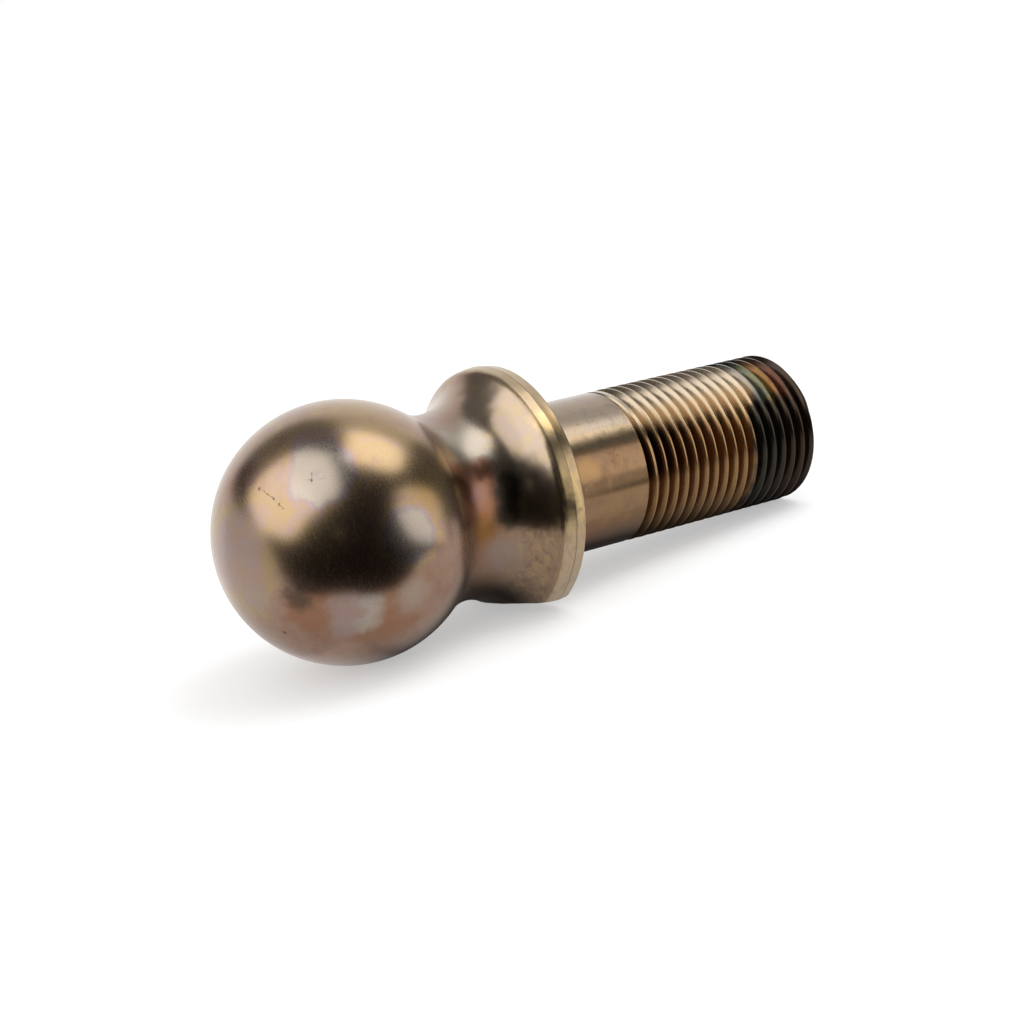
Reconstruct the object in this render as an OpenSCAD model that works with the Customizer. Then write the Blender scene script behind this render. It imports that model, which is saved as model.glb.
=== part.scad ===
// Threaded ball stud, forged and turned in one piece.
// The ball runs through a hollow neck into a flange with one flat, then a plain shank and a threaded end.
// Lengths are in millimetres. The origin is the middle of the ball and +Z is up.
// The stud lies as it comes to rest: on the ball, the thread's end and one corner of the flat.

/* [Ball] */
// Diameter of the ball
ball_d = 29; // [27:0.5:32]

/* [Neck] */
// Smallest diameter of the neck behind the ball
neck_d = 21.4; // [19:0.2:22.6]
// Radius of the hollow that sweeps from the ball out to the flange
neck_round = 7.8; // [6.5:0.1:10]

/* [Flange] */
// Diameter of the flange at the two edges of its rim
flange_d = 29; // [28:0.5:34]
// Width of the rim, from the end of the hollow to the seat face
rim_w = 2.85; // [1.8:0.05:6]
// Height of the forged ridge that runs round the middle of the rim
rim_crown = 0.15; // [0.05:0.01:0.4]
// Size of the broken edges along both sides of the rim
edge_break = 0.3; // [0.1:0.05:0.6]
// Depth of the flat that is cut into one side of the flange
flat_depth = 2.5; // [1:0.1:3]

/* [Shank] */
// Diameter of the plain shank behind the seat face
shank_d = 17.9; // [12:0.1:19]
// Length of the plain shank, from the seat face to the first thread
shank_len = 13.4; // [6:0.1:40]

/* [Thread] */
// Outer diameter of the thread
thread_d = 18; // [12:0.5:19]
// Pitch of the thread
thread_pitch = 1.5; // [1:0.25:2]
// Length of the threaded end, from the first thread to the end face
thread_len = 25.9; // [12:0.1:60]
// Radius of the rounding at the thread's end
end_round = 1.2; // [0.6:0.1:3]

/* [Hidden] */
$fn = 128;

ball_r = ball_d / 2;
neck_r = neck_d / 2;
flange_r = flange_d / 2;
thread_r = thread_d / 2;

// The hollow is an arc that touches the ball and is narrowest at the waist.
hollow_r = neck_r + neck_round;
waist_x = sqrt(pow(ball_r + neck_round, 2) - pow(hollow_r, 2));

// Distance along the stud at which the hollow has opened out to radius r.
function flare_x(r) = waist_x + sqrt(pow(neck_round, 2) - pow(hollow_r - min(r, hollow_r), 2));

// Places along the stud, measured from the middle of the ball.
rim_x = flare_x(flange_r);
seat_x = rim_x + rim_w;
ridge_x = (rim_x + seat_x) / 2;
ridge_r = flange_r + rim_crown;
thread_x = seat_x + shank_len;
end_x = thread_x + thread_len;

// Metric thread profile. The turns are drawn as parallel grooves that stop short of the rounded end.
flank_angle = 30;
depth_per_pitch = 0.6134;
groove_depth = depth_per_pitch * thread_pitch;
crest_w = thread_pitch / 8;
groove_w = thread_pitch - crest_w;
groove_count = floor((thread_len - end_round) / thread_pitch);

// The flat lies parallel to the stud's axis.
flat_dist = flange_r - flat_depth;
flat_half_angle = acos(flat_dist / flange_r);

// At rest the stud dips until its thread's end, or else the flat, meets the ground under the ball.
end_core_r = thread_r - end_round;
end_core_x = end_x - end_round;
dip_to_end = asin((ball_r - end_round) / norm([end_core_x, end_core_r])) - atan2(end_core_r, end_core_x);
dip_to_flat = asin(min(1, ball_r / norm([seat_x, flat_dist]))) - atan2(flat_dist, seat_x);
rest_dip = min(dip_to_end, dip_to_flat);

// It also rolls a little, until one corner of the flat takes the load.
corner_x = seat_x - edge_break;
corner_drop = (ball_r - corner_x * sin(rest_dip)) / (flange_r * cos(rest_dip));
rest_roll = max(0, flat_half_angle - acos(min(1, corner_drop)));

// Half section of the ball, radius across and length upwards.
module ball_section() {
    intersection() {
        circle(r = ball_r);
        translate([0, -ball_r])
            square([ball_r, 2 * ball_r]);
    }
}

// Half section of the neck and the flange. The hollow is cut out of a block whose rim has
// two slightly sloped strips that meet at the ridge, and broken edges.
module neck_and_flange_section() {
    edge_start = [flange_r - edge_break, flare_x(flange_r - edge_break)];
    edge_stop = [flange_r, rim_x + edge_break];
    difference() {
        polygon([
            [0, 0],
            [hollow_r, waist_x],
            edge_start + (edge_start - edge_stop) / 2,
            edge_stop,
            [ridge_r, ridge_x],
            [flange_r, seat_x - edge_break],
            [flange_r - edge_break, seat_x],
            [0, seat_x]
        ]);
        translate([hollow_r, waist_x])
            circle(r = neck_round);
    }
}

// Half section of the plain shank.
module shank_section() {
    translate([0, ridge_x])
        square([shank_d / 2, thread_x - ridge_x]);
}

// Half section of one groove of the thread. It reaches past the crests by a third of their width.
module groove_section() {
    past = crest_w / 3;
    root_half = groove_w / 2 - groove_depth * tan(flank_angle);
    mouth_half = groove_w / 2 + past * tan(flank_angle);
    polygon([
        [thread_r - groove_depth, -root_half],
        [thread_r + past, -mouth_half],
        [thread_r + past, mouth_half],
        [thread_r - groove_depth, root_half]
    ]);
}

// Half section of the threaded end with its rounded tip.
module thread_section() {
    difference() {
        union() {
            translate([0, thread_x])
                square([thread_r, end_core_x - thread_x]);
            translate([0, thread_x])
                square([end_core_r, thread_len]);
            translate([end_core_r, end_core_x])
                circle(r = end_round);
        }
        for (turn = [0 : groove_count - 1])
            translate([0, thread_x + (turn + 0.5) * thread_pitch])
                groove_section();
    }
}

// Block that takes the flat off the flange, from the waist to just past the seat face.
module flat_cut() {
    cut_len = seat_x - waist_x + edge_break;
    translate([waist_x, -ridge_r, -2 * ridge_r])
        cube([cut_len, 2 * ridge_r, 2 * ridge_r - flat_dist]);
}

// The whole stud along +X, with its flat facing down.
module stud_along_x() {
    difference() {
        rotate([0, 90, 0])
            rotate_extrude()
                union() {
                    ball_section();
                    neck_and_flange_section();
                    shank_section();
                    thread_section();
                }
        flat_cut();
    }
}

module ball_stud() {
    color([0.70, 0.58, 0.41])
        rotate([0, rest_dip, 0])
            rotate([-rest_roll, 0, 0])
                stud_along_x();
}

ball_stud();
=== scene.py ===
import math

import bmesh
import bpy
import numpy as np
from mathutils import Matrix, Vector, noise


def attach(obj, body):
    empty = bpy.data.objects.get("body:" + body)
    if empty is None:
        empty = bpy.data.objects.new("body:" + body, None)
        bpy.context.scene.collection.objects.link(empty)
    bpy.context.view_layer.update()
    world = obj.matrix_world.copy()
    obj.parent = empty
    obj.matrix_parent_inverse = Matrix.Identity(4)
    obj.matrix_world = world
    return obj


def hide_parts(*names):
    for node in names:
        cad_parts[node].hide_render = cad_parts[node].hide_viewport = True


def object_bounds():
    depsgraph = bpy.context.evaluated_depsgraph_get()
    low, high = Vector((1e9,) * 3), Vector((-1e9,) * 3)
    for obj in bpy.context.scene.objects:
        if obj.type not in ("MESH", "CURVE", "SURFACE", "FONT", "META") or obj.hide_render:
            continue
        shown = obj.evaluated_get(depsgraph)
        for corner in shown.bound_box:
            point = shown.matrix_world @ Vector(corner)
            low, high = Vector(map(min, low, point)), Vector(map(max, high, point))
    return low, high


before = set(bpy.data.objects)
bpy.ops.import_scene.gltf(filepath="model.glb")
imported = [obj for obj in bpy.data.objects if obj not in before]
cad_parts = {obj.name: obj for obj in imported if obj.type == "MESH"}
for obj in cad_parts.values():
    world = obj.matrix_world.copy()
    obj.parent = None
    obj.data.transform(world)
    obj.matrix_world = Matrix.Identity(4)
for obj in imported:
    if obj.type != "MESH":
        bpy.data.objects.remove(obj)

CAD_LOW, CAD_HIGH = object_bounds()
MM = 0.001
MM_PER_METRE = 1000.0

# Sizes of the solid, in millimetres from the middle of the ball along the stud.
BALL_R = 14.5
NECK_R = 10.7
NECK_ROUND = 7.8
RIM_R = 14.5
RIDGE_R = 14.65
RIM_X = 19.148
SEAT_X = 21.998
RIDGE_X = (RIM_X + SEAT_X) / 2
EDGE = 0.3
FLAT_DIST = 12.0
FLAT_FROM = 12.5
SHANK_R = 8.95
THREAD_R = 9.0
END_X = 61.298
END_ROUND = 1.2
END_CORE_X = END_X - END_ROUND
END_CORE_R = THREAD_R - END_ROUND

# The skin is a hair smaller than the solid, whose own mesh has flat facets.
SNUG = 0.9996

# Small rounds that the solid leaves out: the rim's front edge, the flat's corners and its back end.
EDGE_LEAD = 0.22
EDGE_RUN = 0.18
FLAT_BLEND = 0.35
FLAT_END_ROUND = 0.5

# The flat limits the radius only where the cosine to it is above this, and elsewhere lies out of reach.
FLAT_COSINE = 0.2
OUT_OF_REACH = 99.0

# Points of the rim's two strips: distance along from the ridge and drop below it.
RIDGE_POINTS = ((-0.5, 0.067), (-0.08, 0.011), (0.0, 0.0), (0.08, 0.011), (0.5, 0.067))

# The thread: profile, and where its groove begins to sink into the shank.
PITCH = 1.5
THREAD_DEPTH = 0.92
FLANK_ANGLE = math.radians(30)
ROOT_HALF = 0.125
ROOT_BLEND = 0.06
GROOVE_X = 34.960
GROOVE_ANGLE = math.radians(15.9)
RUN_OUT_TURNS = 0.6
THREAD_FROM = 34.9
THREAD_RISE = 3.0
GROOVE_ROWS = (
    -0.70, -0.665, -0.61, -0.37, -0.19, -0.125, -0.05,
    0.05, 0.125, 0.19, 0.37, 0.61, 0.665, 0.70,
)

# Waves of the forging on the flare: depth in mm, scale, the level that cuts off their tops, and how softly.
FORGE_DEPTH = 0.05
FORGE_SCALE = 0.42
FORGE_LEVEL = 0.25
FORGE_ROUND = 0.03

# Their fractal's roughness, step between octaves and number of octaves.
FORGE_FRACTAL = (0.9, 2.1, 3)

# Where they begin along the stud, how far off the neck, and the lengths over which they fade.
FORGE_FROM = 13.0
FORGE_OFF_NECK = 0.3
FORGE_NECK_FADE = 1.5
FORGE_SEAT_FADE = 0.4

# How finely the skin is divided, along the stud and round it.
BALL_STEPS = 64
HOLLOW_STEPS = 52
FRONT_EDGE_STEPS = 8
BACK_EDGE_STEPS = 7
SEAT_SHARES = (0.97, 0.8, 0.5, 0.2, 0.05)
SHANK_NEAR_SEAT = (0.0, 0.08, 0.4)
SHANK_FROM_SEAT = 1.4
SHANK_TO_THREAD = 0.6
SHANK_STEPS = 10
LEAD_TURNS = 2
END_SHARES = (0.97, 0.75, 0.4, 0.0)
COLUMNS = 208
ANGLE_SAMPLES = 4001
CORNER_CROWDING = 1.6
CORNER_WIDTH = 0.09

# Vertices closer than this are merged and thinner faces dissolved, in mm. Steeper edges are sharp.
MERGE = 0.004
SLIVER = 0.002
SHARP_ANGLE = math.radians(48)


def rest_turn():
    """Turns the stud from lying along +X to its rest on ball, thread's end and a corner of the flat."""
    end_way = math.atan2(END_CORE_R, END_CORE_X)
    dip = math.asin((BALL_R - END_ROUND) / math.hypot(END_CORE_X, END_CORE_R)) - end_way
    drop = (BALL_R - (SEAT_X - EDGE) * math.sin(dip)) / (RIM_R * math.cos(dip))
    roll = math.acos(FLAT_DIST / RIM_R) - math.acos(drop)
    return Matrix.Rotation(dip, 3, "Y") @ Matrix.Rotation(-roll, 3, "X")


REST = rest_turn()
AXIS = REST @ Vector((1, 0, 0))


def round_stud(degrees):
    """Direction off the stud's axis at an angle round it."""
    turn = math.radians(degrees)
    return REST @ Vector((0, math.cos(turn), math.sin(turn)))


# Sides of the stud that differ in colour, most of them through painted light.
BACK_SIDE = round_stud(77)
SHANK_TOP_SIDE = round_stud(95)
TOP_SIDE = round_stud(118)
HEAT_SIDE = round_stud(124)
PALE_SIDE = round_stud(138)
ORANGE_SIDE = round_stud(148)
EDGE_SIDE = round_stud(149.5)
FRONT_SIDE = round_stud(167)
LINE_SIDE = round_stud(184)
LOW_SIDE = round_stud(228)


def smooth_step(value):
    """0 to 1 with soft ends."""
    value = np.clip(value, 0, 1)
    return value * value * (3 - 2 * value)


def soft_min(a, b, width):
    """The lesser of a and b, rounded over where they cross."""
    h = np.clip(0.5 + 0.5 * (b - a) / width, 0, 1)
    return b * (1 - h) + a * h - width * h * (1 - h)


def bezier(a, b, c, count):
    """Points of a corner that leaves a and reaches c, bent towards b."""
    t = np.linspace(0, 1, count)[:, None]
    a, b, c = (np.array(p, float) for p in (a, b, c))
    return (1 - t) ** 2 * a + 2 * t * (1 - t) * b + t ** 2 * c


def on_arc(middle, radius, angles):
    """Points of an arc as (along, radius)."""
    return middle + radius * np.column_stack([np.cos(angles), np.sin(angles)])


def rim_edge(start, heading):
    """Rounded front edge of the rim, from the end of the hollow to the strip in front of the ridge."""
    front = np.array([RIM_X + EDGE, RIM_R])
    strip = np.array([RIDGE_X, RIDGE_R]) - front
    strip /= np.linalg.norm(strip)
    reach = np.linalg.solve(np.column_stack([heading, -strip]), front - start)[0]
    return bezier(start, start + heading * reach, front + strip * EDGE_RUN, FRONT_EDGE_STEPS)


def outline():
    """Half section of ball, neck, rim and the seat's edge as (along, radius)."""
    hollow_r = NECK_R + NECK_ROUND
    hollow = np.array([math.sqrt((BALL_R + NECK_ROUND) ** 2 - hollow_r ** 2), hollow_r])
    touch = hollow * BALL_R / (BALL_R + NECK_ROUND)
    ball_turns = np.linspace(math.pi, math.atan2(touch[1], touch[0]), BALL_STEPS)[1:]
    ball = on_arc(np.zeros(2), BALL_R, ball_turns)

    start_along, start_up = touch - hollow
    stop_up = RIM_R - EDGE - EDGE_LEAD - hollow_r
    stop_along = math.sqrt(NECK_ROUND ** 2 - stop_up ** 2)
    start = math.atan2(start_up, start_along)
    stop = math.atan2(stop_up, stop_along)
    flare = on_arc(hollow, NECK_ROUND, np.linspace(start, stop, HOLLOW_STEPS)[1:])
    edge = rim_edge(flare[-1], np.array([-math.sin(stop), math.cos(stop)]))[1:]

    rim = [(RIDGE_X + away, RIDGE_R - drop) for away, drop in RIDGE_POINTS]
    back = bezier((SEAT_X - EDGE, RIM_R), (SEAT_X, RIM_R), (SEAT_X, RIM_R - EDGE), BACK_EDGE_STEPS)
    return np.vstack([ball, flare, edge, rim, back])


def flat_limit(along, angles):
    """Radius of the flat for each angle, out of reach on the far side of the stud."""
    facing = np.cos(angles + math.pi / 2)
    over = max(0.0, along - (SEAT_X - FLAT_END_ROUND))
    dist = FLAT_DIST - (FLAT_END_ROUND - math.sqrt(max(0.0, FLAT_END_ROUND ** 2 - over ** 2)))
    return np.where(facing > FLAT_COSINE, dist / np.maximum(facing, FLAT_COSINE), OUT_OF_REACH)


def column_angles():
    """Angles round the stud, closer together at the two corners of the flat."""
    corner = math.acos(FLAT_DIST / RIM_R)
    t = np.linspace(0, 2 * math.pi, ANGLE_SAMPLES)
    weight = np.ones_like(t)
    for at in (-math.pi / 2 - corner, -math.pi / 2 + corner):
        away = (t + GROOVE_ANGLE - at + math.pi) % (2 * math.pi) - math.pi
        weight += CORNER_CROWDING * np.exp(-(away / CORNER_WIDTH) ** 2)
    run = np.concatenate([[0], np.cumsum((weight[1:] + weight[:-1]) / 2)])
    return GROOVE_ANGLE + np.interp(np.linspace(0, run[-1], COLUMNS + 1), run, t)


class Skin:
    """Rows of vertices round the stud, each joined to the row before it."""

    def __init__(self, angles):
        self.angles = angles
        self.rows = []
        self.faces = []

    def add(self, along, radius):
        """Adds a row, given as one number or one for each angle."""
        count = len(self.angles)
        first = len(self.rows) * count
        along = np.broadcast_to(along, count)
        radius = np.broadcast_to(radius, count)
        across = radius * np.cos(self.angles)
        up = radius * np.sin(self.angles)
        self.rows.append(np.column_stack([along, across, up]))
        if first == 0:
            return
        before = first - count
        for j in range(count - 1):
            self.faces.append((before + j, first + j, first + j + 1, before + j + 1))


def add_ball_and_flange(skin):
    """Ball, neck and flange with its flat. Returns the radius of the seat's outer edge."""
    skin.add(-BALL_R, 0.0)
    for along, radius in outline():
        row = np.full(skin.angles.shape, radius)
        if along > FLAT_FROM:
            row = soft_min(row, flat_limit(along, skin.angles), FLAT_BLEND)
        skin.add(along, row)
    return row


def add_seat_and_shank(skin, seat_edge):
    """Seat face from its edge inwards, then the plain shank."""
    for share in SEAT_SHARES:
        skin.add(SEAT_X, SHANK_R + (seat_edge - SHANK_R) * share)
    for away in SHANK_NEAR_SEAT:
        skin.add(SEAT_X + away, SHANK_R)
    for along in np.linspace(SEAT_X + SHANK_FROM_SEAT, THREAD_FROM - SHANK_TO_THREAD, SHANK_STEPS):
        skin.add(along, SHANK_R)


def groove_depth(offset):
    """Depth of the thread's groove at a distance from its middle."""
    fall = (abs(offset) - ROOT_HALF) / math.tan(FLANK_ANGLE)
    return max(0.0, soft_min(THREAD_DEPTH - fall, THREAD_DEPTH, ROOT_BLEND))


def thread_row(offset, turns):
    """Place along the stud and radius of a row that runs beside the groove's middle."""
    share = smooth_step(turns / RUN_OUT_TURNS)
    along = GROOVE_X + offset * share + PITCH * turns
    inside = np.clip(along, THREAD_FROM, END_X)
    outer = SHANK_R + (THREAD_R - SHANK_R) * np.clip((inside - THREAD_FROM) / THREAD_RISE, 0, 1)
    radius = outer - groove_depth(offset) * share * (along > THREAD_FROM)
    past = np.clip(inside - END_CORE_X, 0, END_ROUND)
    tip = END_CORE_R + np.sqrt(np.maximum(0.0, END_ROUND ** 2 - past ** 2))
    return inside, np.minimum(radius, tip)


def add_thread(skin):
    """Thread and end face. Rows follow the helix, so that crests and roots stay clean lines."""
    share_round = (skin.angles - GROOVE_ANGLE) / (2 * math.pi)
    last = int((END_X - GROOVE_X) / PITCH) + LEAD_TURNS
    for turn in range(-LEAD_TURNS, last):
        for offset in GROOVE_ROWS:
            along, radius = thread_row(offset, turn + share_round)
            skin.add(along, radius)
    for share in END_SHARES:
        skin.add(END_X, END_CORE_R * share)


def forge_flare(points):
    """Shallow waves left on the flare by the forging dies, always into the metal."""
    reach = np.hypot(points[:, 1], points[:, 2])
    off_neck = np.clip((reach - NECK_R - FORGE_OFF_NECK) / FORGE_NECK_FADE, 0, 1)
    off_seat = np.clip((SEAT_X - points[:, 0]) / FORGE_SEAT_FADE, 0, 1)
    fade = smooth_step(off_neck * off_seat)
    for i in np.flatnonzero((points[:, 0] > FORGE_FROM) & (points[:, 0] < SEAT_X) & (fade > 0)):
        wave = noise.fractal(Vector(points[i]) * FORGE_SCALE, *FORGE_FRACTAL) - FORGE_LEVEL
        sink = 0.5 * (math.sqrt(wave * wave + FORGE_ROUND) - wave)
        points[i, 1:] *= 1 - sink * FORGE_DEPTH * fade[i] / reach[i]


def stud_object():
    """The visible stud: one closed skin that keeps the solid's form."""
    skin = Skin(column_angles())
    seat_edge = add_ball_and_flange(skin)
    add_seat_and_shank(skin, seat_edge)
    add_thread(skin)
    points = np.vstack(skin.rows)
    forge_flare(points)
    points = points @ np.array(REST).T * MM * SNUG

    mesh = bpy.data.meshes.new("stud")
    mesh.from_pydata(points.tolist(), [], skin.faces)
    work = bmesh.new()
    work.from_mesh(mesh)
    bmesh.ops.remove_doubles(work, verts=work.verts, dist=MERGE * MM)
    bmesh.ops.dissolve_degenerate(work, edges=work.edges, dist=SLIVER * MM)
    bmesh.ops.recalc_face_normals(work, faces=work.faces)
    work.to_mesh(mesh)
    work.free()
    mesh.shade_smooth()
    mesh.set_sharp_from_angle(angle=SHARP_ANGLE)
    stud = bpy.data.objects.new("plated_stud", mesh)
    bpy.context.scene.collection.objects.link(stud)
    return stud


class Nodes:
    """Short calls for building a node tree."""

    SCALAR_RESULTS = ("DOT_PRODUCT", "LENGTH", "DISTANCE")

    def __init__(self, tree, clear=True):
        self.tree = tree
        if clear:
            tree.nodes.clear()

    def add(self, kind, **settings):
        node = self.tree.nodes.new(kind)
        for name, value in settings.items():
            setattr(node, name, value)
        return node

    def link(self, source, target):
        self.tree.links.new(source, target)

    def put(self, socket, value):
        """Links a socket, or sets a number, colour or vector."""
        if isinstance(value, bpy.types.NodeSocket):
            self.link(value, socket)
        else:
            socket.default_value = value

    def math(self, operation, a, b=0.0, clamp=False):
        node = self.add("ShaderNodeMath", operation=operation, use_clamp=clamp)
        self.put(node.inputs[0], a)
        self.put(node.inputs[1], b)
        return node.outputs[0]

    def times(self, a, b):
        return self.math("MULTIPLY", a, b)

    def plus(self, a, b):
        return self.math("ADD", a, b)

    def vector(self, operation, a, b=None, scale=None):
        node = self.add("ShaderNodeVectorMath", operation=operation)
        self.put(node.inputs[0], a)
        if b is not None:
            self.put(node.inputs[1], b)
        if scale is not None:
            self.put(node.inputs["Scale"], scale)
        result = "Value" if operation in self.SCALAR_RESULTS else "Vector"
        return node.outputs[result]

    def ramp(self, value, low, high, to_low=0.0, to_high=1.0, smooth=True):
        """Maps low..high to to_low..to_high and holds the ends."""
        node = self.add("ShaderNodeMapRange", interpolation_type="SMOOTHSTEP" if smooth else "LINEAR")
        for socket, number in zip(node.inputs[:5], (value, low, high, to_low, to_high)):
            self.put(socket, number)
        return node.outputs[0]

    def mix(self, share, a, b):
        node = self.add("ShaderNodeMix", data_type="RGBA")
        self.put(node.inputs["Factor"], share)
        self.put(node.inputs[6], a)
        self.put(node.inputs[7], b)
        return node.outputs[2]

    def noise(self, where, scale, detail, rough, distortion=0.0):
        node = self.add("ShaderNodeTexNoise")
        self.put(node.inputs["Vector"], where)
        node.inputs["Scale"].default_value = scale
        node.inputs["Detail"].default_value = detail
        node.inputs["Roughness"].default_value = rough
        node.inputs["Distortion"].default_value = distortion
        return node

    def grey_noise(self, where, scale, detail, rough, distortion=0.0):
        return self.noise(where, scale, detail, rough, distortion).outputs["Fac"]

    def shaken(self, where, scale, detail, amount):
        """The place, pushed about by noise."""
        colour = self.noise(where, scale, detail, 0.6).outputs["Color"]
        push = self.vector("SUBTRACT", colour, (0.5, 0.5, 0.5))
        return self.vector("ADD", where, self.vector("SCALE", push, scale=amount))

    def bands(self, value, stops):
        """Colour ramp through (position, colour) stops."""
        node = self.add("ShaderNodeValToRGB")
        node.color_ramp.interpolation = "EASE"
        for place, colour in stops[2:]:
            node.color_ramp.elements.new(place)
        for element, (place, colour) in zip(node.color_ramp.elements, stops):
            element.position = place
            element.color = (*colour, 1)
        self.put(node.inputs[0], value)
        return node.outputs[0]

    def place_in_mm(self, socket):
        return self.vector("SCALE", socket, scale=MM_PER_METRE)


# Colours of the passivated zinc.
COPPER = (0.235, 0.122, 0.075)
BRONZE = (0.275, 0.178, 0.130)
GOLD = (0.305, 0.215, 0.118)
PINK = (0.295, 0.205, 0.168)
LILAC = (0.275, 0.220, 0.208)
SILVER = (0.320, 0.270, 0.220)

# The same colours in order of the film's thickness.
FILM_COLOURS = [(0.14, COPPER), (0.31, BRONZE), (0.40, GOLD), (0.48, PINK), (0.54, LILAC), (0.63, SILVER)]

# Colours of single stretches of the stud; many of them are painted light, laid on one side.
BALL_PINK = (0.305, 0.222, 0.190)
BALL_GOLD = (0.285, 0.178, 0.070)
NECK_SILVER = (0.278, 0.246, 0.205)
NECK_RED = (0.215, 0.090, 0.050)
NECK_SHADE = (0.060, 0.026, 0.015)
NECK_LILAC = (0.260, 0.150, 0.135)
NECK_BROWN = (0.180, 0.086, 0.048)
NECK_GOLD = (0.190, 0.085, 0.020)
LOW_BROWN = (0.205, 0.136, 0.098)
LOW_GOLD = (0.290, 0.195, 0.105)
LOW_DARK = (0.110, 0.068, 0.046)
FLARE_GREY = (0.215, 0.172, 0.160)
FLARE_BROWN = (0.215, 0.140, 0.088)
FLARE_ROSE = (0.215, 0.128, 0.095)
FLARE_PINK = (0.325, 0.258, 0.212)
FLARE_GOLD = (0.340, 0.264, 0.172)
RIM_GOLD = (0.460, 0.325, 0.155)
RIM_HIGHLIGHT = (0.610, 0.420, 0.205)
RIM_PINK = (0.320, 0.250, 0.195)
RIM_PALE = (0.315, 0.245, 0.168)
SHANK_BROWN = (0.205, 0.116, 0.058)
SHANK_PALE = (0.275, 0.232, 0.185)
SHANK_TOP = (0.235, 0.178, 0.130)
SHANK_GOLD = (0.300, 0.175, 0.077)
SHANK_CREAM = (0.270, 0.200, 0.125)
SHANK_RED = (0.110, 0.048, 0.026)
SHANK_EDGE = (0.360, 0.270, 0.165)
SHANK_LINE = (0.085, 0.052, 0.027)
ROD_LOW = (0.110, 0.046, 0.018)
THREAD_BROWN = (0.300, 0.180, 0.084)
THREAD_PALE = (0.395, 0.330, 0.250)
THREAD_ORANGE = (0.330, 0.205, 0.085)
FLANK_SHADE = (0.150, 0.075, 0.034)
DEEP_SHADE = (0.022, 0.010, 0.005)
SMUDGE_AND_SHADE = (0.050, 0.040, 0.030)
SOOT = (0.030, 0.029, 0.024)
SOOT_RED = (0.038, 0.026, 0.020)

# Heat colours on top of the burnt end, in order along the stud.
HEAT_TINTS = [
    (0.04, (0.145, 0.098, 0.066)),
    (0.16, (0.044, 0.038, 0.038)),
    (0.32, (0.066, 0.084, 0.092)),
    (0.46, (0.112, 0.104, 0.052)),
    (0.58, (0.155, 0.080, 0.027)),
    (0.72, (0.088, 0.034, 0.020)),
    (0.88, (0.030, 0.021, 0.017)),
]

# Places on the ball where the film is thicker or thinner: middle, radius and softness in mm, change.
FILM_SPOTS = [
    ((-6.2, -9.0, 9.5), 3.6, 1.0, 0.28),
    ((-5.0, -6.2, 12.1), 2.8, 1.2, 0.14),
    ((-10.6, -7.6, 6.0), 4.0, 2.0, 0.05),
    ((0.6, -10.5, 10.0), 4.2, 2.0, 0.02),
    ((-0.6, -14.3, 1.4), 3.0, 1.2, 0.28),
    ((3.4, -13.4, 4.4), 2.4, 1.2, 0.05),
    ((-14.2, -1.5, 1.5), 5.2, 3.0, 0.13),
    ((-6.5, -9.5, -9.0), 9.0, 4.0, -0.14),
    ((-11.1, -8.6, -3.8), 2.4, 1.4, -0.12),
    ((-2.1, -12.0, -7.9), 2.4, 1.2, -0.08),
    ((3.2, -13.3, -4.8), 4.0, 2.0, -0.08),
    ((-4.6, -1.8, 13.6), 4.5, 2.5, -0.04),
    ((1.3, -4.9, 13.6), 4.0, 2.5, 0.04),
    ((-11.0, 0.1, 9.5), 2.6, 1.4, -0.14),
]

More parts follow.
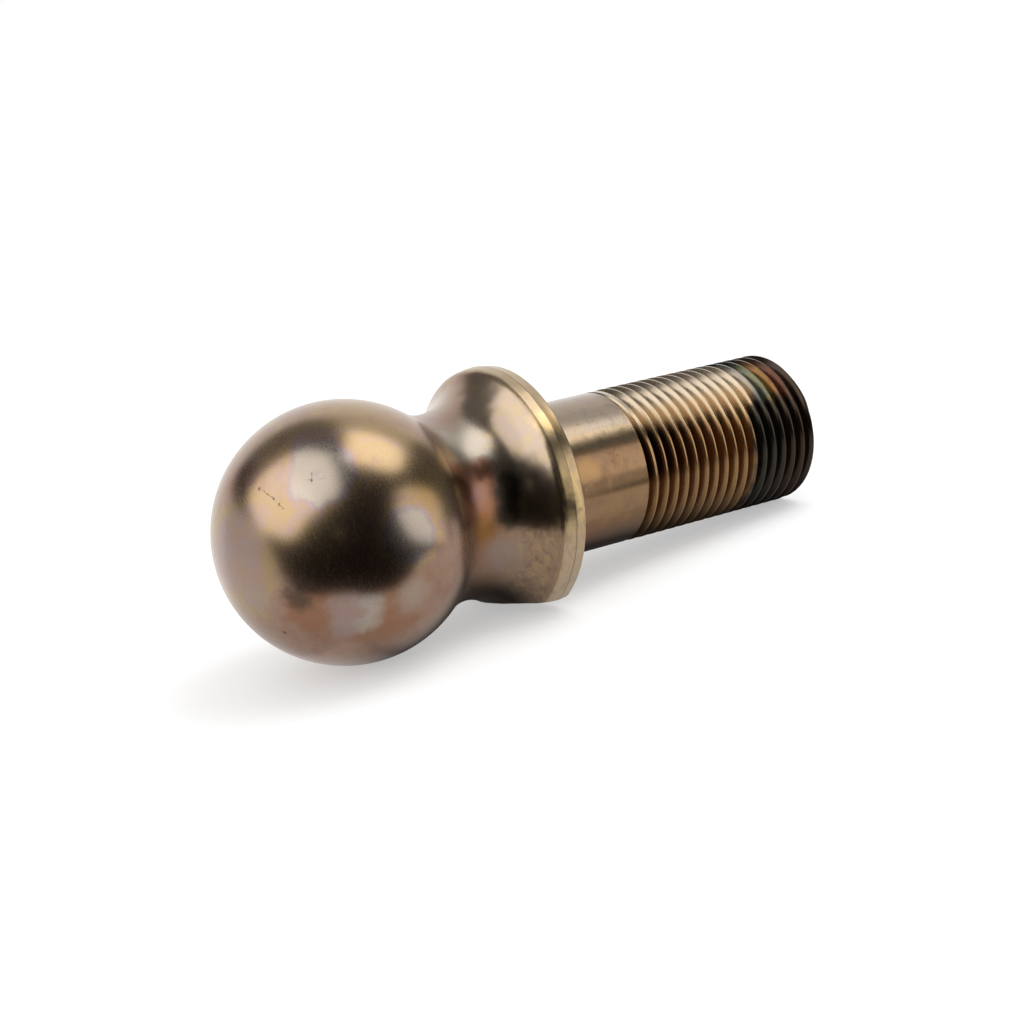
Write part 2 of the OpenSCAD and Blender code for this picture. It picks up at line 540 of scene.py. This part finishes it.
# Stains, with spots of painted shade and painted highlight among them: middle, radius and softness in mm,
# share, colour.
STAINS = [
    ((-7.2, -11.4, -5.2), 2.6, 1.0, 0.55, LILAC),
    ((-5.6, -12.6, -4.6), 1.5, 0.7, 0.75, SILVER),
    ((-5.8, -11.6, -6.6), 1.4, 0.7, 0.75, SILVER),
    ((-0.9, -13.5, -5.0), 1.9, 1.4, 0.60, SILVER),
    ((-13.8, -3.7, -2.7), 1.4, 1.0, 0.60, LILAC),
    ((-7.9, -9.8, -7.0), 1.5, 0.9, 0.50, LILAC),
    ((-3.4, -12.6, -6.2), 1.5, 0.9, 0.55, COPPER),
    ((-11.6, -8.4, -2.4), 1.6, 1.0, 0.75, SMUDGE_AND_SHADE),
    ((-9.3, -6.0, 9.4), 1.7, 1.4, 0.60, BALL_PINK),
    ((3.4, -13.3, 4.6), 1.9, 0.9, 0.75, BALL_GOLD),
    ((12.8, -9.8, -5.6), 2.0, 1.2, 0.60, FLARE_GREY),
    # Painted dark reflection on the front of the flare.
    ((14.9, -10.5, 1.9), 1.7, 0.8, 0.85, SMUDGE_AND_SHADE),
    ((14.3, -10.8, 0.3), 1.4, 0.8, 0.85, SMUDGE_AND_SHADE),
    ((14.2, -10.9, -1.4), 1.4, 0.8, 0.85, SMUDGE_AND_SHADE),
    # Painted shade in the neck.
    ((13.3, -9.3, 4.2), 1.2, 0.8, 0.75, NECK_SHADE),
    ((9.6, -10.7, 3.0), 1.4, 0.9, 0.75, NECK_SHADE),
    ((11.2, -10.4, 2.0), 1.1, 0.9, 0.60, NECK_LILAC),
    ((17.6, 0.5, 10.3), 2.6, 1.6, 0.60, FLARE_BROWN),
    ((14.7, -2.0, 9.3), 2.2, 1.4, 0.65, FLARE_ROSE),
    ((12.2, -3.4, 9.1), 2.0, 1.4, 0.75, FLARE_ROSE),
    ((10.8, -10.9, -1.9), 1.6, 1.0, 0.80, NECK_GOLD),
    # Painted highlight on the rim, then painted dark spots of its mottled reflection.
    ((21.4, -11.2, 7.4), 1.6, 1.0, 0.80, RIM_HIGHLIGHT),
    ((21.2, -12.9, 4.9), 1.2, 0.8, 0.45, SMUDGE_AND_SHADE),
    ((20.2, -14.6, -2.0), 1.1, 0.6, 0.75, SMUDGE_AND_SHADE),
    ((27.1, -8.6, -0.2), 1.5, 1.1, 0.90, SHANK_GOLD),
    ((27.9, -6.6, 3.5), 1.2, 0.9, 0.60, SHANK_CREAM),
    ((31.2, -8.5, 0.0), 0.7, 0.5, 0.40, SHANK_RED),
    ((29.0, -8.7, -1.6), 0.6, 0.5, 0.35, SHANK_RED),
]

# Small pits of the forging: middle and radius in mm.
PITS = [
    ((-10.9, -4.0, 8.7), 0.20),
    ((-10.7, -5.3, 8.2), 0.12),
    ((-10.6, -6.2, 7.75), 0.13),
    ((-10.5, -6.9, 7.2), 0.13),
    ((-7.2, -8.85, 8.95), 0.14),
    ((-12.0, -4.5, -6.8), 0.28),
    ((30.6, -8.6, -0.4), 0.10),
    ((31.6, -8.4, 0.1), 0.09),
    ((29.1, -8.9, -2.2), 0.08),
    ((31.6, -8.9, -1.7), 0.07),
]

# Hair cracks on the ball, each from point to point in mm, and half their width.
CRACKS = [
    [
        (-10.81, -4.08, 8.76),
        (-10.75, -5.07, 8.30),
        (-10.60, -6.08, 7.81),
        (-10.57, -6.81, 7.22),
        (-10.40, -7.56, 6.71),
    ],
    [(-6.78, -8.40, 9.70), (-7.29, -8.93, 8.80)],
    [(-7.47, -8.53, 9.03), (-6.83, -9.09, 9.00), (-6.07, -9.64, 8.98)],
]
CRACK_HALF = 0.07

# Noises of the surface: scale per mm, detail, roughness and, for the streaks, distortion.
DRIFT = (0.13, 2.0, 0.5)
MOTTLE = (0.75, 4.0, 0.55)
STREAKS = (1.5, 3.0, 0.6, 0.6)
BLOTCHES = (0.55, 4.0, 0.62)
SPECKS = (2.2, 3.0, 0.6)
CRACK_BREAKS = (1.7, 3.0, 0.6)
LATHE_MARKS = (0.9, 4.0, 0.65)
GRAIN = (3.6, 3.0, 0.6)
RIPPLES = (1.3, 2.0, 0.5)
RINGS = (1.0, 2.0, 0.5)
STREAK_STRETCH = (1.0, 1.0, 0.45)

# Places pushed about by noise: scale per mm, detail and push in mm.
LOOSE = (0.45, 3.0, 3.0)
RAGGED = (3.5, 2.0, 0.35)

# Stretches along the stud: start, end and softness in mm.
PALE_FLARE = (15.0, SEAT_X, 1.4)
PALE_NECK = (9.5, 15.0, 1.2)
RED_NECK = (8.0, 13.8, 0.7)
NECK_AND_FLARE = (9.0, SEAT_X, 1.2)
STREAKED_FLARE = (15.5, RIM_X, 1.0)
RIM_WIDTH = (RIM_X, SEAT_X + 0.5, 0.12)
RIDGE_LINE = (RIDGE_X - 0.05, RIDGE_X + 0.07, 0.06)
SMOOTH_PART = (15.0, 70.0, 1.0)
ROUGH_NECK = (8.5, 14.0, 1.0)

# Painted light by side on rim, shank and thread: side, cosines where a colour begins and is full, share,
# colour.
RIM_SIDES = [
    (LOW_SIDE, 0.70, 0.95, 0.60, RIM_PINK),
    (TOP_SIDE, 0.60, 0.92, 0.65, RIM_PALE),
]
SHANK_SIDES = [
    (BACK_SIDE, 0.28, 0.46, 0.80, SHANK_PALE),
    (SHANK_TOP_SIDE, 0.88, 0.96, 0.85, SHANK_TOP),
    (EDGE_SIDE, 0.988, 0.998, 0.90, SHANK_EDGE),
    (LINE_SIDE, 0.990, 0.999, 0.75, SHANK_LINE),
    (LOW_SIDE, 0.90, 1.0, 0.60, ROD_LOW),
]
THREAD_SIDES = [
    (TOP_SIDE, 0.72, 0.95, 0.80, THREAD_PALE),
    (ORANGE_SIDE, 0.94, 0.99, 0.40, THREAD_ORANGE),
    (LOW_SIDE, 0.45, 0.85, 0.25, ROD_LOW),
]

# Roughness between the marks of the turning, and how it changes on single stretches.
ROUGHNESS = (0.25, 0.28)
SMOOTH_CHANGE = -0.03
NECK_CHANGE = 0.05
RIM_CHANGE = 0.09

# Bump of the surface: share of the slope shown, height in metres, and shares of what makes it up.
BUMP_STRENGTH = 0.6
BUMP_HEIGHT = 0.00005
GRAIN_SHARE = 0.05
MARKS_SHARE = 0.010
RIPPLES_SHARE = 0.4
RINGS_SHARE = 0.15

# Marks of the turning are squeezed along the stud, and rings on the faces follow the radius.
MARKS_SQUEEZE = 6.0
RINGS_SCALE = 6.0


class Plating:
    """The plated steel, with its colour built up layer by layer."""

    def __init__(self, n):
        self.n = n
        self.place = n.place_in_mm(n.add("ShaderNodeTexCoord").outputs["Object"])
        self.along = n.vector("DOT_PRODUCT", self.place, tuple(AXIS))
        self.radius = n.vector("LENGTH", n.vector("SUBTRACT", self.place, self.on_axis(self.along)))
        self.loose = n.shaken(self.place, *LOOSE)
        self.ragged = n.shaken(self.place, *RAGGED)
        self.mottle = n.grey_noise(self.place, *MOTTLE)
        self.uneven = n.plus(self.along, self.mottled(0.8))
        self.streaks = n.grey_noise(n.vector("MULTIPLY", self.place, STREAK_STRETCH), *STREAKS)
        self.below = self.facing(LOW_SIDE, 0.66, 0.80)
        self.low_flare = n.times(self.stretch(STREAKED_FLARE, self.uneven), self.below)
        self.rim = n.times(self.stretch(RIM_WIDTH), n.ramp(self.radius, 13.9, 14.2))
        self.colour = None

    def on_axis(self, distance):
        """Point on the stud's axis."""
        return self.n.vector("SCALE", tuple(AXIS), scale=distance)

    def mottled(self, amount):
        """Fine mottle between -amount and amount."""
        return self.n.ramp(self.mottle, 0.3, 0.7, -amount, amount, smooth=False)

    def stretch(self, limits, along=None):
        """1 between two places along the stud, with soft ends."""
        start, end, soft = limits
        if along is None:
            along = self.along
        rise = self.n.ramp(along, start - soft, start + soft)
        fall = self.n.ramp(along, end - soft, end + soft, 1.0, 0.0)
        return self.n.times(rise, fall)

    def cosine(self, side, where):
        """Cosine between a place's direction off the axis and a side of the stud."""
        return self.n.math("DIVIDE", self.n.vector("DOT_PRODUCT", where, tuple(side)), self.radius)

    def facing(self, side, low, high, loosely=False):
        """1 on a side of the stud, with a soft edge between two cosines. A loose edge wavers."""
        return self.n.ramp(self.cosine(side, self.loose if loosely else self.place), low, high)

    def spot(self, middle, spread, soft, inside=1.0):
        """The inside value within a round spot, and 0 outside it."""
        away = self.n.vector("DISTANCE", self.loose, middle)
        return self.n.ramp(away, spread - soft, spread + soft, inside, 0.0)

    def line(self, a, b, half):
        """1 on a straight line between two points, with ragged edges."""
        run = Vector(b) - Vector(a)
        from_a = self.n.vector("SUBTRACT", self.ragged, a)
        dot = self.n.vector("DOT_PRODUCT", from_a, tuple(run))
        share = self.n.math("DIVIDE", dot, run.length_squared, clamp=True)
        away = self.n.vector("DISTANCE", from_a, self.n.vector("SCALE", tuple(run), scale=share))
        return self.n.ramp(away, half * 0.5, half * 1.6, 1.0, 0.0)

    def blend(self, share, a, b):
        """Mix of two colours."""
        return self.n.mix(share, (*a, 1), (*b, 1))

    def cover(self, mask, share, tint):
        """Lays a colour, or the output of a node, over the colour so far."""
        if not isinstance(tint, bpy.types.NodeSocket):
            tint = (*tint, 1)
        self.colour = self.n.mix(self.n.times(mask, share), self.colour, tint)

    def cover_sides(self, part, sides):
        """Lays colours over the sides of one part of the stud."""
        for side, low, high, share, tint in sides:
            self.cover(self.n.times(part, self.facing(side, low, high)), share, tint)


def colour_film(p):
    """Film of the passivation: slow drift, spots and a fine mottle."""
    n = p.n
    film = n.ramp(n.grey_noise(p.place, *DRIFT), 0.3, 0.7, 0.30, 0.42, smooth=False)
    for middle, spread, soft, change in FILM_SPOTS:
        film = n.plus(film, p.spot(middle, spread, soft, change))
    film = n.plus(film, p.mottled(0.04))
    p.colour = n.bands(film, FILM_COLOURS)


def colour_neck(p):
    """Neck and flare: silver and pale on top as painted highlight, red in front, brown below as painted
    shade, with streaks.
    """
    n = p.n
    # Painted highlight: paler pink and gold on the flare's upper side, silver on the neck's.
    pale_flare = n.times(p.stretch(PALE_FLARE, p.uneven), p.facing(PALE_SIDE, 0.70, 0.92, loosely=True))
    p.cover(pale_flare, 0.85, p.blend(n.ramp(p.mottle, 0.32, 0.68), FLARE_PINK, FLARE_GOLD))
    pale_neck = n.times(p.stretch(PALE_NECK, p.uneven), p.facing(PALE_SIDE, 0.84, 0.97))
    p.cover(pale_neck, 0.9, NECK_SILVER)
    # Painted shade: brown on the underside of neck and flare.
    low_part = n.times(p.stretch(NECK_AND_FLARE, p.uneven), p.below)
    p.cover(low_part, 0.75, p.blend(n.ramp(p.along, 12.0, 15.5), NECK_BROWN, LOW_BROWN))
    p.cover(n.times(p.low_flare, n.ramp(p.streaks, 0.50, 0.62)), 0.75, LOW_GOLD)
    p.cover(n.times(p.low_flare, n.ramp(p.streaks, 0.48, 0.34)), 0.4, LOW_DARK)
    # Red in front: partly the film's colour, partly painted reflection of light bounced between ball and
    # flange.
    p.cover(n.times(p.stretch(RED_NECK), p.facing(FRONT_SIDE, 0.93, 0.97)), 0.85, NECK_RED)


def colour_rim(p):
    """Rim: gold, partly painted highlight; pink below and pale on top as painted light; a painted dark line
    along the ridge.
    """
    n = p.n
    # Gold brighter than the film, partly the rim's own colour and partly painted highlight.
    p.cover(n.times(p.rim, n.ramp(p.streaks, 0.36, 0.56, 0.35, 1.0)), 0.9, RIM_GOLD)
    p.cover_sides(p.rim, RIM_SIDES)
    # Painted dark line along the ridge between the two strips.
    p.cover(n.times(p.rim, p.stretch(RIDGE_LINE)), 0.6, SMUDGE_AND_SHADE)


def colour_shank(p):
    """Shank: brown, with painted light by side (paler top and back, a highlight line, a dark line, darker
    below), blotches and specks.
    """
    n = p.n
    on_rod = n.times(n.ramp(p.along, SEAT_X, SEAT_X + 0.1), n.ramp(p.radius, 9.6, 9.3))
    p.cover(on_rod, 0.75, SHANK_BROWN)
    # Painted light by side: paler top and back, a highlight line, a dark reflection line, a darker
    # underside.
    p.cover_sides(on_rod, SHANK_SIDES)
    blotch = n.grey_noise(p.place, *BLOTCHES)
    p.cover(n.times(on_rod, n.ramp(blotch, 0.52, 0.68)), 0.22, SHANK_GOLD)
    p.cover(n.times(on_rod, n.ramp(blotch, 0.50, 0.34)), 0.30, LOW_DARK)
    specks = n.grey_noise(p.place, *SPECKS)
    p.cover(n.times(on_rod, n.ramp(specks, 0.60, 0.72)), 0.40, SHANK_RED)
    p.cover(n.times(on_rod, n.ramp(specks, 0.40, 0.30)), 0.30, SHANK_CREAM)


def colour_stains(p):
    """Stains on ball, neck, rim and shank, with spots of painted shade and painted highlight among them."""
    for middle, spread, soft, share, tint in STAINS:
        p.cover(p.spot(middle, spread, soft), share, tint)


def colour_thread(p):
    """Thread: brown, pale on top as painted highlight and darker below as painted shade, with painted shade
    in the roots and a painted reflection of the dark seat on the flanks in front.
    """
    n = p.n
    on_thread = n.ramp(p.along, THREAD_FROM, GROOVE_X + 0.5)
    p.cover(on_thread, 0.65, THREAD_BROWN)
    p.cover_sides(on_thread, THREAD_SIDES)
    # Painted shade in the roots, kept off the top side.
    root_shade = n.times(on_thread, n.ramp(p.radius, 8.12, 8.80, 1.0, 0.0, smooth=False))
    p.cover(n.times(root_shade, p.facing(TOP_SIDE, 0.96, 0.75, loosely=True)), 0.45, DEEP_SHADE)
    # Painted reflection of the dark seat face: dark flanks in front, fading to brown further along.
    upper = p.cosine(BACK_SIDE, p.place)
    upper_edge = n.plus(upper, n.ramp(p.along, 36.0, 56.0, 0.0, 0.37, smooth=False))
    in_front = n.times(n.ramp(upper_edge, 0.20, 0.50, 1.0, 0.0), n.ramp(upper, -0.50, -0.25))
    on_flank = n.times(on_thread, n.ramp(p.radius, 8.72, 8.94, 1.0, 0.0, smooth=False))
    p.cover(n.times(on_flank, in_front), 0.90, p.blend(n.ramp(p.along, 36.0, 48.0), DEEP_SHADE, FLANK_SHADE))


def colour_burnt_end(p):
    """Burnt end of the thread, which reaches further up in front than on top."""
    n = p.n
    edge = n.times(p.facing(TOP_SIDE, 0.72, 0.98), 2.7)
    from_edge = n.math("SUBTRACT", n.plus(p.along, p.mottled(0.2)), edge)
    on_top = p.facing(HEAT_SIDE, 0.84, 0.97, loosely=True)
    burnt = n.mix(on_top, n.ramp(from_edge, 50.9, 51.7), n.ramp(from_edge, 50.0, 52.4))
    heat = n.plus(n.ramp(p.along, 51.6, 60.4, smooth=False), p.mottled(0.06))
    soot = p.blend(n.ramp(p.along, 53.5, 59.0), SOOT, SOOT_RED)
    p.cover(burnt, 0.97, n.mix(on_top, soot, n.bands(heat, HEAT_TINTS)))


def colour_pits(p):
    """Pits and hair cracks with ragged edges."""
    n = p.n
    for middle, size in PITS:
        away = n.vector("DISTANCE", p.ragged, middle)
        p.cover(n.ramp(away, size * 0.5, size * 1.3, 1.0, 0.0), 0.75, SMUDGE_AND_SHADE)
    broken = n.ramp(n.grey_noise(p.place, *CRACK_BREAKS), 0.40, 0.52)
    for crack in CRACKS:
        for a, b in zip(crack, crack[1:]):
            p.cover(n.times(p.line(a, b, CRACK_HALF), broken), 0.60, SMUDGE_AND_SHADE)


def finish_surface(p, shader):
    """Roughness and bump: grain, marks of the turning, ripples under the flare and rings on the faces."""
    n = p.n
    lathe = n.vector("ADD", p.place, p.on_axis(n.times(p.along, MARKS_SQUEEZE)))
    marks = n.grey_noise(lathe, *LATHE_MARKS)
    rough = n.ramp(marks, 0.3, 0.7, *ROUGHNESS, smooth=False)
    rough = n.plus(rough, n.times(p.stretch(SMOOTH_PART), SMOOTH_CHANGE))
    rough = n.plus(rough, n.times(p.stretch(ROUGH_NECK), NECK_CHANGE))
    rough = n.plus(rough, n.times(p.rim, RIM_CHANGE))
    n.link(rough, shader.inputs["Roughness"])

    grain = n.grey_noise(p.place, *GRAIN)
    ripples = n.times(n.grey_noise(p.place, *RIPPLES), p.low_flare)
    rings_at = n.add("ShaderNodeCombineXYZ")
    n.link(n.times(p.radius, RINGS_SCALE), rings_at.inputs[0])
    rings = n.times(n.grey_noise(rings_at.outputs[0], *RINGS), n.ramp(p.along, SEAT_X - 0.1, SEAT_X))
    height = n.plus(n.times(grain, GRAIN_SHARE), n.times(marks, MARKS_SHARE))
    height = n.plus(height, n.times(ripples, RIPPLES_SHARE))
    height = n.plus(height, n.times(rings, RINGS_SHARE))
    bump = n.add("ShaderNodeBump")
    bump.inputs["Strength"].default_value = BUMP_STRENGTH
    bump.inputs["Distance"].default_value = BUMP_HEIGHT
    n.link(height, bump.inputs["Height"])
    n.link(bump.outputs[0], shader.inputs["Normal"])


def plated_material():
    """Steel with yellow passivated zinc, worn and burnt at the thread's end, with painted light laid into
    its colour by side.
    """
    material = bpy.data.materials.new("plated_steel")
    material.use_nodes = True
    n = Nodes(material.node_tree)
    out = n.add("ShaderNodeOutputMaterial")
    shader = n.add("ShaderNodeBsdfPrincipled")
    shader.inputs["Metallic"].default_value = 1.0
    n.link(shader.outputs[0], out.inputs[0])
    p = Plating(n)
    colour_film(p)
    colour_neck(p)
    colour_rim(p)
    colour_shank(p)
    colour_stains(p)
    colour_thread(p)
    colour_burnt_end(p)
    colour_pits(p)
    n.link(p.colour, shader.inputs["Base Color"])
    finish_surface(p, shader)
    return material


# The camera as fitted to the photo, in the stud's own frame.
CAMERA_AT = REST @ Vector((-119.031, -214.468, 34.342)) * MM
CAMERA_RIGHT = REST @ Vector((0.812909, -0.560937, -0.156617))
CAMERA_UP = REST @ Vector((0.209137, 0.030179, 0.977421))
CAMERA_BACK = REST @ Vector((-0.543545, -0.827308, 0.141846))
LENS = 79.96
SENSOR = 36.0
CLIP_START = 0.01


def add_camera():
    """Camera at the photo's viewing angle."""
    data = bpy.data.cameras.new("camera")
    data.lens = LENS
    data.sensor_width = SENSOR
    data.clip_start = CLIP_START
    camera = bpy.data.objects.new("camera", data)
    turn = Matrix((CAMERA_RIGHT, CAMERA_UP, CAMERA_BACK)).transposed()
    camera.matrix_world = Matrix.Translation(CAMERA_AT) @ turn.to_4x4()
    bpy.context.scene.collection.objects.link(camera)
    bpy.context.scene.camera = camera


# Floor: half its side in metres, its grey, and the glow that makes it white to the eye.
FLOOR_Z = CAD_LOW.z
FLOOR_HALF = 3.0
FLOOR_GREY = 0.60
FLOOR_GLOW = 0.42

# Shade on the floor as gloss sees it: sides and height in mm, light in the middle and at the sides.
SHADE_X = (-9.0, 110.0)
SHADE_Y = (-11.5, 30.0)
SHADE_LIFT = 0.1
SHADE_DARK = 0.05
SHADE_PALE = 0.9

# Its dark middle, and how far its front edge steps back between two places, in mm.
SHADE_CORE_X = (3.0, 75.0)
SHADE_CORE_Y = (-4.0, 8.0)
SHADE_STEP_X = (16.0, 30.0)
SHADE_STEP = 2.0

# Lamp: side and distance in metres, power in watts, turn and polar angle.
LAMP_SIZE = 0.20
LAMP_DISTANCE = 0.32
LAMP_POWER = 0.38
LAMP_TURN = 70
LAMP_POLAR = 80

WORLD_STRENGTH = 1.0

# Cards, walls and hood as the ball mirrors them: turn, nearest and farthest polar angle.
LEFT_CARD = [
    (127, 25.5, 85), (135, 25, 87), (150, 27, 91), (160, 29, 91), (170, 31, 79), (178, 33, 68),
    (186, 38, 47),
]
UPPER_CARD = [(92, 32, 46), (100, 29, 70), (118, 26, 82), (127, 25.5, 85)]
TOP_CARD = [(49, 72, 84), (55, 66, 97), (70, 61, 97), (80, 60, 96), (89, 65, 94)]
RIGHT_CARD = [
    (-6, 62, 90), (2, 56, 94), (10, 53, 95), (18, 51, 95), (24, 52, 94), (30, 54, 84), (36, 58, 68),
]
GREY_WALL = [(94, 82, 106), (110, 84, 119), (135, 90, 123), (146, 92, 124)]
DARK_WALL = [(146, 92, 124), (157, 93, 124), (169, 92, 99)]
END_CARD = [(6, 97, 126), (46, 97, 126), (54, 100, 120)]
DARK_HOOD = [
    (0, 2, 98), (25, 2, 98), (43, 2, 98), (60, 2, 92), (90, 2, 92), (110, 2, 90), (135, 2, 94),
    (157, 2, 97), (170, 2, 90), (178, 2, 66), (201, 2, 60), (217, 2, 56), (240, 2, 49), (254, 2, 44),
    (268, 2, 41), (282, 2, 41), (303, 2, 48), (323, 2, 56), (340, 2, 63), (347, 2, 68), (351, 2, 80),
    (354, 2, 92), (360, 2, 98),
]
BACK_WALL = [(52, 118, 174), (300, 118, 174)]

# All but the back wall: name, spans, distance from the ball in metres, strength.
CARDS = [
    ("left_card", LEFT_CARD, 0.30, 2.6),
    ("upper_card", UPPER_CARD, 0.30, 2.1),
    ("top_card", TOP_CARD, 0.31, 3.3),
    ("right_card", RIGHT_CARD, 0.32, 1.75),
    ("grey_wall", GREY_WALL, 0.40, 0.22),
    ("dark_wall", DARK_WALL, 0.40, 0.06),
    ("end_card", END_CARD, 0.42, 0.15),
    ("dark_hood", DARK_HOOD, 0.50, 0.012),
]
CARD_ROWS = 16
CARD_STEP = 4

# The back wall runs along the floor and is dimmer near the ball's foot as a painted shadow, between two
# distances in mm.
WALL_DISTANCE = 0.60
WALL_STRENGTH = 1.35
WALL_FOOT_STRENGTH = 0.70
WALL_DIM_NEAR = 6.0
WALL_DIM_FAR = 45.0


def toward(turn, polar):
    """Direction at a polar angle from the camera's side and a turn round it, in degrees."""
    turn = math.radians(turn)
    polar = math.radians(polar)
    across = CAMERA_RIGHT * math.cos(turn) + CAMERA_UP * math.sin(turn)
    return across * math.sin(polar) + CAMERA_BACK * math.cos(polar)


def glow_material(name, strength):
    """White light from a surface. Its node is named light."""
    material = bpy.data.materials.new(name)
    material.use_nodes = True
    n = Nodes(material.node_tree)
    out = n.add("ShaderNodeOutputMaterial")
    light = n.add("ShaderNodeEmission", name="light")
    light.inputs["Strength"].default_value = strength
    n.link(light.outputs[0], out.inputs[0])
    return material


def stage_piece(name, points, faces, material, gloss_only=False):
    """A piece of the studio. One for gloss only neither shows itself nor lights or shades the floor."""
    mesh = bpy.data.meshes.new(name)
    mesh.from_pydata([tuple(p) for p in points], [], faces)
    mesh.materials.append(material)
    piece = bpy.data.objects.new(name, mesh)
    if gloss_only:
        piece.visible_camera = False
        piece.visible_diffuse = False
        piece.visible_shadow = False
        piece.visible_transmission = False
    bpy.context.scene.collection.objects.link(piece)
    return piece


def add_card(name, spans, distance, strength):
    """A card bent round the ball for gloss only. What would lie below the floor is laid along it."""
    turns, near, far = np.array(spans, float).T
    columns = np.linspace(turns[0], turns[-1], 2 + int((turns[-1] - turns[0]) / CARD_STEP))
    # A card farther away lies lower, so that cards that overlap share no plane.
    floor = FLOOR_Z + (1 - distance) * MM
    points = []
    for column in columns:
        inner = np.interp(column, turns, near)
        outer = np.interp(column, turns, far)
        for polar in np.linspace(inner, outer, CARD_ROWS):
            way = toward(column, polar)
            reach = min(distance, floor / way.z) if way.z < 0 else distance
            points.append(way * reach)
    faces = []
    for i in range(len(columns) - 1):
        for j in range(CARD_ROWS - 1):
            a = i * CARD_ROWS + j
            b = a + CARD_ROWS
            faces.append((a, a + 1, b + 1, b))
    return stage_piece(name, points, faces, glow_material(name, strength), gloss_only=True)


def add_back_wall():
    """Bright wall behind the stud."""
    wall = add_card("back_wall", BACK_WALL, WALL_DISTANCE, WALL_STRENGTH)
    n = Nodes(wall.data.materials[0].node_tree, clear=False)
    place = n.place_in_mm(n.add("ShaderNodeNewGeometry").outputs["Position"])
    away = n.vector("DISTANCE", place, (0.0, 0.0, -BALL_R))
    # Dimmer near the ball's foot: a painted shadow of the stud where the wall lies along the floor.
    strength = n.ramp(away, WALL_DIM_NEAR, WALL_DIM_FAR, WALL_FOOT_STRENGTH, WALL_STRENGTH)
    n.link(strength, n.tree.nodes["light"].inputs["Strength"])


def bare_look(n):
    """1 for rays straight from the camera, or by gloss or glass, and 0 for scattered light."""
    path = n.add("ShaderNodeLightPath")
    direct = n.plus(path.outputs["Is Camera Ray"], path.outputs["Is Glossy Ray"])
    return n.math("ADD", direct, path.outputs["Is Transmission Ray"], clamp=True)


def level_square(x_span, y_span, z):
    """Corners of a level rectangle."""
    x0, x1 = x_span
    y0, y1 = y_span
    return [(x0, y0, z), (x1, y0, z), (x1, y1, z), (x0, y1, z)]


def add_floor():
    """Pale floor that keeps the stud's shadow."""
    material = bpy.data.materials.new("pale_floor")
    material.use_nodes = True
    n = Nodes(material.node_tree)
    out = n.add("ShaderNodeOutputMaterial")
    paper = n.add("ShaderNodeBsdfDiffuse")
    paper.inputs["Color"].default_value = (FLOOR_GREY, FLOOR_GREY, FLOOR_GREY, 1)
    glow = n.add("ShaderNodeEmission")
    n.link(n.times(bare_look(n), FLOOR_GLOW), glow.inputs["Strength"])
    together = n.add("ShaderNodeAddShader")
    n.link(paper.outputs[0], together.inputs[0])
    n.link(glow.outputs[0], together.inputs[1])
    n.link(together.outputs[0], out.inputs[0])
    span = (-FLOOR_HALF, FLOOR_HALF)
    stage_piece("floor", level_square(span, span, FLOOR_Z), [(0, 1, 2, 3)], material)


def add_shade():
    """Shade on the floor under the stud as its gloss sees it, deepest under the neck."""
    material = glow_material("floor_shade", SHADE_PALE)
    n = Nodes(material.node_tree, clear=False)
    split = n.add("ShaderNodeSeparateXYZ")
    n.link(n.place_in_mm(n.add("ShaderNodeNewGeometry").outputs["Position"]), split.inputs[0])
    x = split.outputs[0]
    y = split.outputs[1]
    front = n.math("SUBTRACT", y, n.ramp(x, *SHADE_STEP_X, 0.0, SHADE_STEP))
    light = n.ramp(front, SHADE_Y[0], SHADE_CORE_Y[0], SHADE_PALE, SHADE_DARK)
    other_edges = (
        (x, SHADE_CORE_X[0], SHADE_X[0]),
        (x, SHADE_CORE_X[1], SHADE_X[1]),
        (y, SHADE_CORE_Y[1], SHADE_Y[1]),
    )
    for where, dark, pale in other_edges:
        light = n.math("MAXIMUM", light, n.ramp(where, dark, pale, SHADE_DARK, SHADE_PALE))
    n.link(light, n.tree.nodes["light"].inputs["Strength"])
    x_span = [x_mm * MM for x_mm in SHADE_X]
    y_span = [y_mm * MM for y_mm in SHADE_Y]
    corners = level_square(x_span, y_span, FLOOR_Z + SHADE_LIFT * MM)
    stage_piece("floor_shade", corners, [(0, 1, 2, 3)], material, gloss_only=True)


def add_world():
    """Plain white surroundings."""
    world = bpy.data.worlds.new("studio")
    bpy.context.scene.world = world
    world.use_nodes = True
    n = Nodes(world.node_tree)
    out = n.add("ShaderNodeOutputWorld")
    sky = n.add("ShaderNodeBackground")
    sky.inputs["Color"].default_value = (1, 1, 1, 1)
    sky.inputs["Strength"].default_value = WORLD_STRENGTH
    n.link(sky.outputs[0], out.inputs[0])


def add_lamp():
    """Softbox above the stud, for the shadow on the floor."""
    light = bpy.data.lights.new("top_lamp", "AREA")
    light.size = LAMP_SIZE
    light.energy = LAMP_POWER
    lamp = bpy.data.objects.new("top_lamp", light)
    way = toward(LAMP_TURN, LAMP_POLAR)
    lamp.location = way * LAMP_DISTANCE
    lamp.rotation_mode = "QUATERNION"
    lamp.rotation_quaternion = way.to_track_quat("Z", "Y")
    lamp.visible_glossy = False
    bpy.context.scene.collection.objects.link(lamp)


def add_studio():
    """Cards for the gloss, lamp, floor and surroundings."""
    for name, spans, distance, strength in CARDS:
        add_card(name, spans, distance, strength)
    add_back_wall()
    add_lamp()
    add_floor()
    add_shade()
    add_world()


def main():
    """Builds the stud and the studio."""
    stud = stud_object()
    stud.data.materials.append(plated_material())
    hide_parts("ball_stud")
    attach(stud, "root")
    add_camera()
    add_studio()
    bpy.context.scene.view_settings.view_transform = "Standard"


main()
